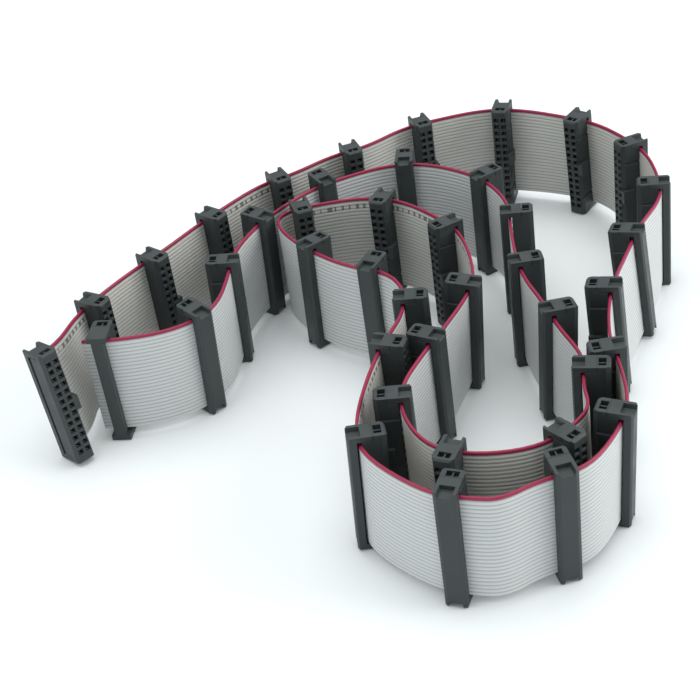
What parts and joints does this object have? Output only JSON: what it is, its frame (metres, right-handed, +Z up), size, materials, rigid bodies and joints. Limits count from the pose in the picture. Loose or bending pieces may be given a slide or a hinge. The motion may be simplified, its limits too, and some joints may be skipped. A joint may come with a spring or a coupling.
{
  "type": "ribbon cable",
  "caption": "Long grey flat ribbon cable with a red edge stripe and many press-on pin sockets along it, standing on edge in a loose double spiral.",
  "frame": {"origin": "on the table under the middle of the cable's outline", "axes": "+Z up the ribbon's width; +X to the right and +Y away from a viewer in front"},
  "size_m": [0.203, 0.2116, 0.0386],
  "materials": {
    "ribbon_insulation": "matte grey flexible insulation with a red edge",
    "socket_plastic": "fine matte black moulded plastic",
    "contact_metal": "tin-plated spring bronze"
  },
  "bodies": {
    "root": {"ribbon": "ribbon_insulation", "socket_body_01": "socket_plastic", "socket_body_02": "socket_plastic", "socket_body_03": "socket_plastic", "socket_body_04": "socket_plastic", "socket_body_05": "socket_plastic", "socket_body_06": "socket_plastic", "socket_body_07": "socket_plastic", "socket_body_08": "socket_plastic", "socket_body_09": "socket_plastic", "socket_body_10": "socket_plastic", "socket_body_11": "socket_plastic", "socket_body_12": "socket_plastic", "socket_body_13": "socket_plastic", "socket_body_14": "socket_plastic", "socket_body_15": "socket_plastic", "socket_body_16": "socket_plastic", "socket_body_17": "socket_plastic", "socket_body_18": "socket_plastic", "socket_body_19": "socket_plastic", "socket_body_20": "socket_plastic", "socket_body_21": "socket_plastic", "socket_body_22": "socket_plastic", "socket_body_23": "socket_plastic", "socket_body_24": "socket_plastic", "socket_body_25": "socket_plastic", "socket_body_26": "socket_plastic", "socket_body_27": "socket_plastic", "socket_body_28": "socket_plastic", "socket_body_29": "socket_plastic", "socket_body_30": "socket_plastic", "socket_body_31": "socket_plastic", "socket_body_32": "socket_plastic", "socket_body_33": "socket_plastic", "socket_body_34": "socket_plastic", "socket_body_35": "socket_plastic", "socket_body_36": "socket_plastic", "socket_body_37": "socket_plastic", "socket_body_38": "socket_plastic", "socket_body_39": "socket_plastic", "socket_body_40": "socket_plastic", "socket_body_41": "socket_plastic", "socket_covers_01_05": "socket_plastic", "contact_forks_01_05": "contact_metal", "socket_covers_06_10": "socket_plastic", "contact_forks_06_10": "contact_metal", "socket_covers_11_15": "socket_plastic", "contact_forks_11_15": "contact_metal", "socket_covers_16_20": "socket_plastic", "contact_forks_16_20": "contact_metal", "socket_covers_21_25": "socket_plastic", "contact_forks_21_25": "contact_metal", "socket_covers_26_29": "socket_plastic", "contact_forks_26_29": "contact_metal", "socket_covers_30_33": "socket_plastic", "contact_forks_30_33": "contact_metal", "socket_covers_34_37": "socket_plastic", "contact_forks_34_37": "contact_metal", "socket_covers_38_41": "socket_plastic", "contact_forks_38_41": "contact_metal"}
  },
  "joints": []
}
